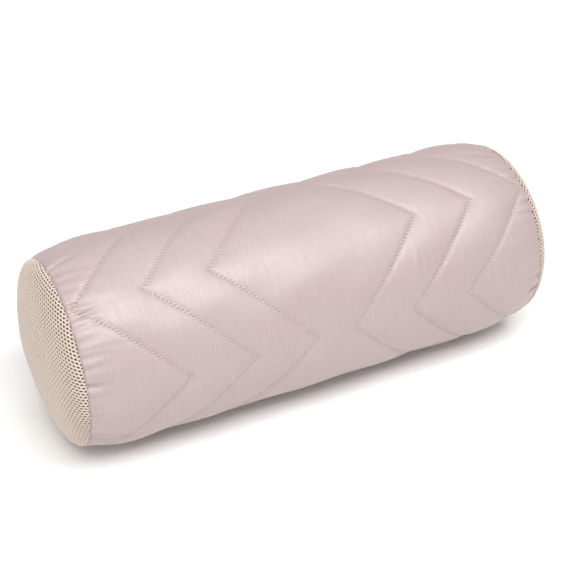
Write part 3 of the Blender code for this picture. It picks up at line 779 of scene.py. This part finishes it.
def on_dome(first, second, lift, side):
    """Lay flat points on the dome: the distance from the disc's middle runs along the profile, and
    lift stands square to it."""
    lengths, radii, bulges = dome_curve()
    flat = np.hypot(first, second)
    turn = np.arctan2(second, first)
    radius = np.interp(flat, lengths, radii)
    bulge = np.interp(flat, lengths, bulges)
    slope_r = np.interp(flat, lengths, np.gradient(radii, lengths))
    slope_b = np.interp(flat, lengths, np.gradient(bulges, lengths))
    radius = radius - lift * slope_b
    bulge = bulge + lift * slope_r
    uneven = 0.5 * MM * np.sin(2.0 * turn + 0.8) * np.sin(flat / (21.0 * MM)) + \
        0.35 * MM * np.sin(3.0 * turn + 2.0) * np.sin(flat / (13.0 * MM))
    x = side * (seam_x + bulge + uneven * (flat < 70 * MM))
    return np.stack([x, radius * np.cos(turn), axis_height + radius * np.sin(turn)], axis=-1)


def build_mesh_end(side, word, knit, painted_shade_core):
    """The knitted face with its oval holes: each hole sits in a six-sided cell of strands, and the
    cells share their edges. Behind it one darker surface stands for the spacer yarns and the back;
    its dark brown is partly their own colour and partly painted shade for the shade inside the holes."""
    pitch_y, pitch_z = 3.1 * MM, 2.45 * MM
    reach = dome_curve()[0][-1]
    columns = np.arange(-math.ceil(reach / pitch_y) - 1, math.ceil(reach / pitch_y) + 2)
    rows = np.arange(-math.ceil(reach / pitch_z) - 1, math.ceil(reach / pitch_z) + 2)
    column, row = (grid.ravel() for grid in np.meshgrid(columns, rows))
    centre = np.stack([(column + 0.5 * (row % 2)) * pitch_y, row * pitch_z], axis=1)
    centre = centre[np.hypot(*centre.T) < reach - 0.5 * MM]
    corners = np.array([(0.5, -1 / 3), (0.5, 1 / 3), (0.0, 2 / 3),
                        (-0.5, 1 / 3), (-0.5, -1 / 3), (0.0, -2 / 3)]) * (pitch_y, pitch_z)
    middles = (corners + np.roll(corners, -1, axis=0)) / 2
    hexagon = np.stack([corners, middles], axis=1).reshape(-1, 2)
    turns = np.arctan2(hexagon[:, 1], hexagon[:, 0])
    oval = np.stack([0.9 * MM * np.cos(turns), 0.58 * MM * np.sin(turns)], axis=1)
    pulled = 0.95 + 0.32 * smooth_step(np.hypot(*centre.T), 0.55 * reach, reach)[:, None, None]
    oval = oval * pulled
    hexagon = np.broadcast_to(hexagon, oval.shape)
    rings = np.stack([hexagon, 0.5 * hexagon + 0.58 * oval, oval, 1.03 * oval], axis=1)
    lifts = np.array([0.0, 0.14, -0.12, -0.42]) * MM
    flat = centre[:, None, None, :] + rings
    lift = np.broadcast_to(lifts[None, :, None], flat.shape[:3])
    points = on_dome(flat[..., 0], flat[..., 1], lift, side).reshape(-1, 3)
    cell = grid_quads(4, 12, wrap_columns=True)
    if side < 0:
        cell = cell[:, ::-1]
    quads = (cell[None] + 48 * np.arange(len(centre))[:, None, None]).reshape(-1, 4)
    keys = np.round(flat[:, 0].reshape(-1, 2) / (0.01 * MM)).astype(np.int64)
    _, first, inverse = np.unique(keys, axis=0, return_index=True, return_inverse=True)
    edge_numbers = (np.arange(len(centre))[:, None] * 48 + np.arange(12)).ravel()
    merged = np.arange(len(points))
    merged[edge_numbers] = edge_numbers[first][inverse.ravel()]
    used, quads = np.unique(merged[quads], return_inverse=True)
    net = mesh_of(f"mesh_end_net_{word}", points[used], quads.reshape(-1, 4))
    finished(net, knit, [f"mesh_end_{word}"])
    lengths = np.linspace(2.0 * MM, reach, 60)[:, None]
    turn = np.linspace(0.0, 2.0 * math.pi, 120, endpoint=False)[None, :]
    back = on_dome(lengths * np.cos(turn), lengths * np.sin(turn), -1.15 * MM, side)
    tip = on_dome(np.zeros(1), np.zeros(1), -1.15 * MM, side)[0]
    finished(turned_piece(f"mesh_end_core_{word}", back, tip, None), painted_shade_core, ())


# --- the zip --------------------------------------------------------------------------------------

def beside_zip(along, across, out):
    """A point beside the zip: along X, across the zip (positive is below it), out from the axis."""
    direction = outward(np.array(ZIP_ANGLE))
    below = np.array((0.0, direction[2], -direction[1]))
    along, across, out = np.broadcast_arrays(along, across, out)
    return (np.stack([along, 0.0 * along, 0.0 * along + axis_height], axis=-1)
            + across[..., None] * below + out[..., None] * direction)


def build_zip_tape(side, word, tape):
    """A woven tape: a strip around the barrel with a beaded inner edge under the coil, and a slow
    sine wave along its outer part."""
    x = np.linspace(-seam_x + 1 * MM, seam_x - 1 * MM, 241)
    near = np.array([0.5, 0.55, 1.2, 2.6, 4.0, 6.0, 9.0, 12.0, 14.2, 14.25]) * MM
    lift = np.array([-0.5, 0.0, 0.12, 0.05, 0.0, 0.0, 0.0, 0.0, 0.0, -0.5]) * MM
    angle = ZIP_ANGLE + np.degrees(side * near / FACE_RADIUS)
    wave = np.outer(0.12 * MM * np.sin(x / (17 * MM) + side), smooth_step(near, 3 * MM, 9 * MM))
    radius = face_radius(x)[:, None] - TAPE_DEPTH + lift[None, :] + wave
    top = around(x[:, None] + 0 * angle[None, :], np.broadcast_to(angle, radius.shape), radius)
    quads = grid_quads(*radius.shape)
    obj = mesh_of(f"zip_tape_{word}_woven", top.reshape(-1, 3),
                  facing_out(top.reshape(-1, 3), quads, axis_middle))
    thickened(obj, 0.55 * MM)
    finished(obj, tape, [f"zip_tape_{word}"])


def build_coil(side, word, nylon):
    """A row of coil: a filament wound in flattened loops, across by a cosine and outwards by a sine of
    the winding as it goes along; the two rows lie a quarter pitch apart."""
    turns = 2.0 * CHAIN_HALF_LENGTH / COIL_PITCH
    winding = np.linspace(0.0, turns, int(turns * 12) + 1)
    phase = 2.0 * math.pi * winding
    middle, half = 1.75 * MM, 1.2 * MM
    inset = 0.6 * MM                    # from the end of the chain to the first turn
    x = -CHAIN_HALF_LENGTH + inset + winding * (COIL_PITCH * (1.0 - inset / CHAIN_HALF_LENGTH))
    x = x + (0.25 if side > 0 else 0.0) * COIL_PITCH
    across = side * (middle - half * np.cos(phase) * (1.0 + 0.12 * np.cos(phase)))
    out = (COIL_HIGH + COIL_LOW) / 2 + (COIL_HIGH - COIL_LOW) / 2 * 0.72 * np.sin(phase)
    path = beside_zip(x, across, out)
    travel = np.gradient(path, axis=0)
    travel /= np.linalg.norm(travel, axis=1, keepdims=True)
    first = np.cross(travel, (1.0, 0.0, 0.0))
    first /= np.linalg.norm(first, axis=1, keepdims=True)
    second = np.cross(travel, first)
    ring = np.arange(6) * math.pi / 3
    radius = 0.29 * MM
    tube = path[:, None, :] + radius * (np.cos(ring)[None, :, None] * first[:, None, :]
                                        + np.sin(ring)[None, :, None] * second[:, None, :])
    quads = grid_quads(len(path), 6, wrap_columns=True)
    points = np.concatenate((tube.reshape(-1, 3), path[:1], path[-1:]))
    last = 6 * (len(path) - 1)
    a = np.arange(6)
    b = (a + 1) % 6
    caps = np.concatenate((np.stack([0 * a + len(points) - 2, b, a], axis=1),
                           np.stack([0 * a + len(points) - 1, last + a, last + b], axis=1)))
    obj = mesh_of(f"zip_coil_{word}_wound", points, quads, caps)
    return finished(obj, nylon, [f"zip_coil_{word}"])


def rounded_box(name, low, high, place, bevel, material, replaced, body):
    """A block with rounded edges: each face's grid is pressed onto a box with round corners."""
    count = 9
    share = np.linspace(-1.0, 1.0, count)
    a, b = np.meshgrid(share, share, indexing="ij")
    one = np.ones_like(a)
    faces = [(a, b, one), (b, a, -one), (one, a, b), (-one, b, a), (b, one, a), (a, -one, b)]
    cube = np.stack([np.stack(face, axis=-1).reshape(-1, 3) for face in faces]).reshape(-1, 3)
    half = (np.array(high) - low) / 2
    middle = (np.array(high) + low) / 2
    inner = np.clip(cube * half, -(half - bevel), half - bevel)
    direction = cube * half - inner
    length = np.linalg.norm(direction, axis=1, keepdims=True)
    points = inner + direction / np.maximum(length, 1e-12) * bevel + middle
    quads = np.concatenate([grid_quads(count, count) + n * count * count for n in range(6)])
    keys = np.round(points / 1e-7).astype(np.int64)
    _, first, inverse = np.unique(keys, axis=0, return_index=True, return_inverse=True)
    placed = place(*points[first].T)
    quads = inverse.ravel()[quads]
    obj = mesh_of(name, placed, facing_out(placed, quads, placed.mean(axis=0)))
    return finished(obj, material, replaced, body)


def plate_points(outline, heights, insets):
    """Rings of a plate's edge: the outline moved in by each inset, at each height."""
    ahead = np.roll(outline, -1, axis=0) - np.roll(outline, 1, axis=0)
    inward = np.stack([-ahead[:, 1], ahead[:, 0]], axis=1)
    inward /= np.linalg.norm(inward, axis=1, keepdims=True)
    rings = [np.concatenate((outline + inward * inset, np.full((len(outline), 1), height)), axis=1)
             for height, inset in zip(heights, insets)]
    return np.stack(rings)


def superellipse(count, half_along, half_across, power, taper=0.0):
    """A closed outline between an ellipse and a rectangle, narrower towards one end by taper."""
    turn = np.arange(count) * 2.0 * math.pi / count
    c, s = np.cos(turn), np.sin(turn)
    along = half_along * np.sign(c) * np.abs(c) ** (2.0 / power)
    across = half_across * np.sign(s) * np.abs(s) ** (2.0 / power)
    return np.stack([along, across * (1.0 - taper * along / half_along)], axis=1)


def build_slider(nickel):
    """The slider: a crowned top plate with a skirt all round it, a bottom plate, a thin post between
    them, and the bail that holds the tab. The coils don't part, so the skirt passes through them in
    front and behind, and the post is thin enough to run in the line between them."""
    low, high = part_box("zip_slider")
    middle_x = (low[0] + high[0]) / 2
    half_length = (high[0] - low[0]) / 2
    top = FACE_RADIUS + 0.8 * MM
    floor = FACE_RADIUS - 3.6 * MM

    def place(along, across, out):
        return beside_zip(middle_x + along, across, out)

    parts, faces, count = [], [], 48
    outline = superellipse(count, half_length, 4.25 * MM, 4.0, taper=-0.1)
    # Each plate's section, ring by ring: height above the plate's own level, and inset, in mm
    crown = ((-0.7, 0.5), (-2.2, 0.45), (-2.25, 0.15), (-2.2, 0.0), (-0.3, 0.0), (-0.08, 0.12),
             (0.0, 0.4), (0.12, 1.4))
    base = ((0.0, 1.4), (0.0, 0.3), (-0.1, 0.05), (-0.35, 0.0), (-0.6, 0.1), (-0.7, 0.5), (-0.7, 1.4))
    start = 0
    for face, section in ((top, crown), (floor, base)):
        heights, insets = (np.array(section) * MM).T
        grid = plate_points(outline, face + heights, insets).reshape(-1, 3)
        rim = len(section)
        first_tip, last_tip = grid[:count].mean(axis=0), grid[-count:].mean(axis=0)
        parts.append(np.concatenate((grid, [first_tip, last_tip])))
        quads = grid_quads(rim, count, wrap_columns=True) + start
        faces.append(quads)
        a = np.arange(count)
        b = (a + 1) % count
        tip = start + rim * count
        faces.append(np.stack([0 * a + tip, b + start, a + start, a + start], axis=1))
        end = start + (rim - 1) * count
        faces.append(np.stack([0 * a + tip + 1, a + end, b + end, b + end], axis=1))
        start += rim * count + 2
    points = np.concatenate(parts)
    quads = np.concatenate(faces)
    triangles = quads[quads[:, 2] == quads[:, 3]][:, :3]
    quads = quads[quads[:, 2] != quads[:, 3]]
    obj = mesh_of("zip_slider_plates", place(*points.T), quads, triangles)
    finished(obj, nickel, ["zip_slider"], "slider")
    rounded_box("zip_slider_post", (-2.4 * MM, -0.1 * MM, floor - 0.3 * MM),
                (2.4 * MM, 0.1 * MM, top - 0.3 * MM), place, 0.08 * MM, nickel, (),
                "slider")
    turn = np.linspace(0.0, math.pi, 17)
    half_span, leg = 1.55 * MM, top - 0.2 * MM
    arch = np.stack([half_span * np.cos(turn), top + 0.55 * MM + 1.2 * MM * np.sin(turn)], axis=1)
    spine = np.concatenate(([(half_span, leg)], arch, [(-half_span, leg)]))
    travel = np.gradient(spine, axis=0)
    travel /= np.linalg.norm(travel, axis=1, keepdims=True)
    normal = np.stack([travel[:, 1], -travel[:, 0]], axis=1)
    section = superellipse(12, 0.38 * MM, 0.8 * MM, 3.0)
    along = spine[:, 0][:, None] + normal[:, 0][:, None] * section[:, 0]
    out = spine[:, 1][:, None] + normal[:, 1][:, None] * section[:, 0]
    across = np.broadcast_to(section[:, 1], along.shape)
    bail = place(along.ravel(), across.ravel(), out.ravel())
    quads = facing_out(bail, grid_quads(len(spine), 12, wrap_columns=True), bail.mean(axis=0))
    finished(mesh_of("zip_slider_bail", bail, quads), nickel, (), "slider")


def build_pull_tab(nickel):
    """The pull tab: a flat plate with rounded edges around a window, wider at its tip."""
    hinge = next(joint for joint in frame["joints"] if joint["name"] == "tab_hinge")
    pivot = np.array(hinge["pos_m"])
    pivot_out = FACE_RADIUS + 1.9 * MM
    count = 48
    outer = superellipse(count, 12.2 * MM, 2.8 * MM, 5.0, taper=0.14) - (11.7 * MM, 0.0)
    window = superellipse(count, 2.35 * MM, 1.3 * MM, 5.0) - (2.85 * MM, 0.0)
    half = 0.4 * MM
    edge = plate_points(outer, (-half, -0.6 * half, 0.6 * half, half), (0.3 * MM, 0.0, 0.0, 0.3 * MM))
    inner = plate_points(window, (half, 0.5 * half, -0.5 * half, -half),
                         (-0.2 * MM, 0.0, 0.0, -0.2 * MM))
    middle = 0.5 * (edge[-1] + inner[0])
    back = 0.5 * (edge[0] + inner[-1])
    rings = np.concatenate((edge, middle[None], inner, back[None]))
    points = rings.reshape(-1, 3)
    placed = beside_zip(pivot[0] + points[:, 0], points[:, 1], pivot_out + points[:, 2])
    quads = grid_quads(len(rings), count, wrap_rows=True, wrap_columns=True)
    obj = mesh_of("zip_pull_tab_plate", placed, facing_out(placed, quads, placed.mean(axis=0)))
    return finished(obj, nickel, ["zip_pull_tab"], "pull_tab")


def build_zip(tape, nylon, nickel, thread):
    """The zip: tapes, coils, stops, the two rows of topstitching, the slider and its tab."""
    x = np.arange(-seam_x + 4 * MM, seam_x - 3 * MM, STITCH_PITCH)
    stop_near, stop_far = 0.7 * MM, 3.1 * MM
    chain_end = CHAIN_HALF_LENGTH + 0.3 * MM
    stop_low = COIL_LOW - 0.1 * MM
    for side, word in ((-1, "upper"), (1, "lower")):
        build_zip_tape(side, word, tape)
        build_coil(side, word, nylon)
        first, last = sorted((side * stop_near, side * stop_far))
        rounded_box(f"zip_top_stop_{word}_crimped", (chain_end, first, stop_low),
                    (STOP_END, last, COIL_HIGH), beside_zip, 0.5 * MM, nickel,
                    [f"zip_top_stop_{word}"], "cover")
        edge = slot_edge(x) + ZIP_STITCH_OFFSET - SLOT_HALF_WIDTH
        angle = ZIP_ANGLE + np.degrees(side * edge / FACE_RADIUS)
        centres = around(x, angle, face_radius(x) + 0.02 * MM)
        along = np.gradient(centres, axis=0)
        along /= np.linalg.norm(along, axis=1, keepdims=True)
        stitch_row(f"zip_topstitch_{word}", centres, along, outward(angle), 2.5 * MM, 0.24 * MM,
                   0.35 * MM, thread, [f"zip_stitch_{word}"])
    rounded_box("zip_bottom_stop_crimped", (-STOP_END, -stop_far, stop_low),
                (-chain_end, stop_far, COIL_HIGH), beside_zip, 0.5 * MM, nickel,
                ["zip_bottom_stop"], "cover")
    build_slider(nickel)
    build_pull_tab(nickel)


# --- inside ---------------------------------------------------------------------------------------

def soft_layer(name, depth, thickness, waver, slit, material, replaced):
    """A layer inside the cover: a sheet around the barrel at a depth below its surface, with a gentle
    waver (two crossing sine waves), open along the zip for slit to either side, or all round if slit
    is zero."""
    x = np.linspace(-seam_x + 1 * MM, seam_x - 1 * MM, 121)
    gap = math.degrees(slit / FACE_RADIUS)
    angle = np.linspace(ZIP_ANGLE + gap - 360.0, ZIP_ANGLE - gap, 161)
    if not slit:
        angle = angle[:-1]
    grid_x, grid_angle = np.meshgrid(x, angle, indexing="ij")
    wave = waver * (np.sin(grid_x / (23 * MM) + np.radians(grid_angle) * 3)
                    + np.sin(grid_x / (11 * MM) - np.radians(grid_angle) * 5))
    level = smooth_step(np.abs(grid_x), seam_x - 30 * MM, seam_x)
    radius = face_radius(grid_x) - depth - wave * (1.0 - level)
    points = rested(around(grid_x, grid_angle, radius), depth).reshape(-1, 3)
    quads = facing_out(points, grid_quads(*grid_x.shape, wrap_columns=not slit), axis_middle)
    obj = mesh_of(name, points, quads)
    thickened(obj, thickness)
    return finished(obj, material, replaced)


def inner_radius(x):
    """Radius of the inner pillow along its barrel."""
    return face_radius(x) - INNER_DEPTH - INNER_EASE * rounding(x)


def inner_dome(share, inset=0.0):
    """An end of the inner pillow at shares of its radius: how far it bulges past its seam, which is
    its height times the root of one less the share to the power 1.5, and the radius there."""
    rim = inner_radius(INNER_END_X) - inset
    return (CASING_DOME - inset) * np.sqrt(1.0 - share ** 1.5), rim * share


def build_inner_pillow(cotton, thread, fibre):
    """The inner pillow: a calico tube closed by two gathered discs, its seams and its filling."""
    tube = soft_layer("casing_tube", INNER_DEPTH, CALICO, 0.2 * MM, 0.0, cotton,
                      ["inner_casing_tube"])
    rim = inner_radius(INNER_END_X)
    turn = np.linspace(0.0, 360.0, 144, endpoint=False)[None, :]
    share = np.linspace(0.05, 1.0, 26)[:, None]
    angle = np.arange(140) * 360.0 / 140
    out = outward(angle)
    for side, word in ((-1, "left"), (1, "right")):
        bulge, radius = inner_dome(share)
        gathers = 0.35 * MM * np.sin(np.radians(turn) * 36) * share ** 5
        grid = around(side * (INNER_END_X + bulge + gathers), turn, radius + 0.0 * turn)
        disc = turned_piece(f"casing_end_{word}_disc", rested(grid, CASING_FLOOR),
                            np.array([side * (INNER_END_X + CASING_DOME), 0.0, axis_height]), None)
        thickened(disc, CALICO)
        finished(disc, cotton, [f"inner_casing_end_{word}"])
        centres = around(side * (INNER_END_X + 0.3 * MM), angle, np.full(len(angle), rim + 0.2 * MM))
        stitch_row(f"casing_seam_stitches_{word}", rested(centres, CASING_FLOOR),
                   np.cross(out, (1.0, 0.0, 0.0)), out, 2.2 * MM, 0.22 * MM, 0.3 * MM, thread,
                   [f"inner_seam_thread_{word}"])
    x = np.arange(-58.0, 59.0, 3.0) * MM
    centres = around(x, np.full(len(x), ZIP_ANGLE), inner_radius(x) + 0.1 * MM)
    stitch_row("casing_closing_stitches", centres, np.tile((1.0, 0.0, 0.0), (len(x), 1)),
               np.tile(outward(ZIP_ANGLE), (len(x), 1)), 2.4 * MM, 0.22 * MM, 0.35 * MM, thread,
               ["inner_closing_thread"])
    share = np.linspace(0.04, 1.0, 24)
    inset = 1.2 * MM                    # from the casing to the fibre
    bulge, radius = inner_dome(share, inset)
    barrel = np.linspace(-INNER_END_X, INNER_END_X, 90)[1:-1]
    x = np.concatenate((-INNER_END_X - bulge, barrel, (INNER_END_X + bulge)[::-1]))
    radius = np.concatenate((radius, inner_radius(barrel) - inset, radius[::-1]))[:, None]
    x, turn = np.meshgrid(x, turn, indexing="ij")
    lumps = np.sin(x / (9 * MM) + np.radians(turn) * 4) * np.sin(x / (14 * MM) - np.radians(turn) * 7)
    lumps *= 0.5 * MM * smooth_step(radius, 0, rim)
    grid = rested(around(x, turn, radius - np.abs(lumps)), CASING_FLOOR + inset)
    tip = INNER_END_X + CASING_DOME - inset
    filling = turned_piece("fibre_filling", grid, np.array([-tip, 0.0, axis_height]),
                           np.array([tip, 0.0, axis_height]))
    finished(filling, fibre, ["fibre_fill"])


def build_inside(wadding, lining, cotton, thread, fibre):
    """What the satin hides: the quilting's wadding and lining, and the inner pillow."""
    build_inner_pillow(cotton, thread, fibre)
    pad = soft_layer("quilt_wadding", 3.6 * MM, 1.5 * MM, 0.12 * MM, 16 * MM, wadding,
                     ["cover_wadding"])
    backing = soft_layer("quilt_lining", 5.7 * MM, 0.3 * MM, 0.08 * MM, 6 * MM, lining,
                         ["cover_lining"])


def main():
    satin = woven_satin()
    quilt_thread = spun_thread("quilting_thread_spun", "#E2D0CE", "#C4ABAA")
    seam_thread = spun_thread("seam_thread_spun", "#A98F86", "#7F685F")
    knit = spacer_knit("spacer_mesh_knit", "#E3D3C9", "#BCA89A", 0.45 * MM)
    # The core's dark browns are partly the spacer yarns' own colour and partly painted shade for the
    # shade down the mesh holes.
    painted_shade_core = spacer_knit("spacer_mesh_core", "#8B7764", "#63544A", 0.6 * MM)
    tape = woven("zip_tape_woven_polyester", "#D8C2C1", "#BFA5A5", 0.6 * MM)
    nylon = drawn_nylon()
    nickel = plated_zinc()
    surface, step, line = build_cover(satin)
    build_quilt_stitches(quilt_thread, surface, step, line)
    build_seam_stitches(seam_thread)
    build_mesh_end(-1, "left", knit, painted_shade_core)
    build_mesh_end(1, "right", knit, painted_shade_core)
    build_zip(tape, nylon, nickel, quilt_thread)
    wadding = lofty_fibre("wadding_needled_polyester", "#F2F0EA", "#DAD7CF", 3.0 * MM)
    lining = woven("lining_woven_pongee", "#E2DCD2", "#CFC8BC", 0.5 * MM)
    cotton = woven("casing_woven_calico", "#EBE6DB", "#D5CFC2", 0.6 * MM)
    casing_thread = spun_thread("casing_thread_spun", "#EFEADF", "#CFC8B8")
    fibre = lofty_fibre("fibre_spun_hollow", "#F6F5F1", "#DFDDD6", 4.0 * MM)
    build_inside(wadding, lining, cotton, casing_thread, fibre)
    build_stage()
    build_camera()


# --- floor, light and camera ----------------------------------------------------------------------

def build_stage():
    """A pale paper floor, a long soft strip light above the front and along the barrel, a weaker
    light from the left, another on the floor behind, and an even white surround."""
    corners = [(-6.0, -6.0, 0.0), (6.0, -6.0, 0.0), (6.0, 6.0, 0.0), (-6.0, 6.0, 0.0)]
    floor = mesh_of("paper_floor", corners, [(0, 1, 2, 3)])
    floor.data.materials.append(matt_paper())
    barrel, far_floor = (0.0, 0.0, axis_height), (0.0, 1.3, axis_height)
    lamps = (("strip_key", (0.0, -0.76, 1.50), barrel, (1.8, 0.75), 28.0),
             ("left_fill", (-1.1, -0.6, 1.0), barrel, (0.9, 0.9), 3.5),
             ("far_fill", (0.2, 1.5, 1.9), far_floor, (2.6, 0.8), 11.0))
    for name, place, target, size, watts in lamps:
        light = bpy.data.lights.new(name, "AREA")
        light.shape = "RECTANGLE"
        light.size, light.size_y = size
        light.energy = watts
        light.color = (0.98, 1.0, 0.995)
        obj = bpy.data.objects.new(name, light)
        bpy.context.scene.collection.objects.link(obj)
        aim(obj, place, target)
    world = bpy.data.worlds.new("white_surround")
    world.use_nodes = True
    surround = world.node_tree.nodes["Background"].inputs
    surround["Color"].default_value = (1.0, 0.985, 0.975, 1.0)
    surround["Strength"].default_value = 0.53
    bpy.context.scene.world = world
    bpy.context.scene.view_settings.view_transform = "Standard"


def aim(obj, place, target):
    """Turn an object so that its -Z points from its place to a target, with +Y up."""
    back = np.subtract(place, target)
    back = back / np.linalg.norm(back)
    right = np.cross((0.0, 0.0, 1.0), back)
    right /= np.linalg.norm(right)
    up = np.cross(back, right)
    obj.matrix_world = Matrix([*np.stack([right, up, back, place], axis=1).tolist(), (0, 0, 0, 1)])


def build_camera():
    """A long lens a metre away, from the left and above, level."""
    azimuth, elevation, distance = math.radians(-26.3), math.radians(35.2), 1.003
    target = np.array((0.0, 0.0, axis_height))
    back = np.array((math.sin(azimuth) * math.cos(elevation), -math.cos(azimuth) * math.cos(elevation),
                     math.sin(elevation)))
    camera = bpy.data.cameras.new("long_lens")
    camera.sensor_width = 36.0
    camera.lens = 84.8
    camera.shift_x = -0.0057
    camera.shift_y = 0.0035
    camera.clip_start = 0.01
    obj = bpy.data.objects.new("long_lens", camera)
    bpy.context.scene.collection.objects.link(obj)
    aim(obj, target + back * distance, target)
    bpy.context.scene.camera = obj


main()
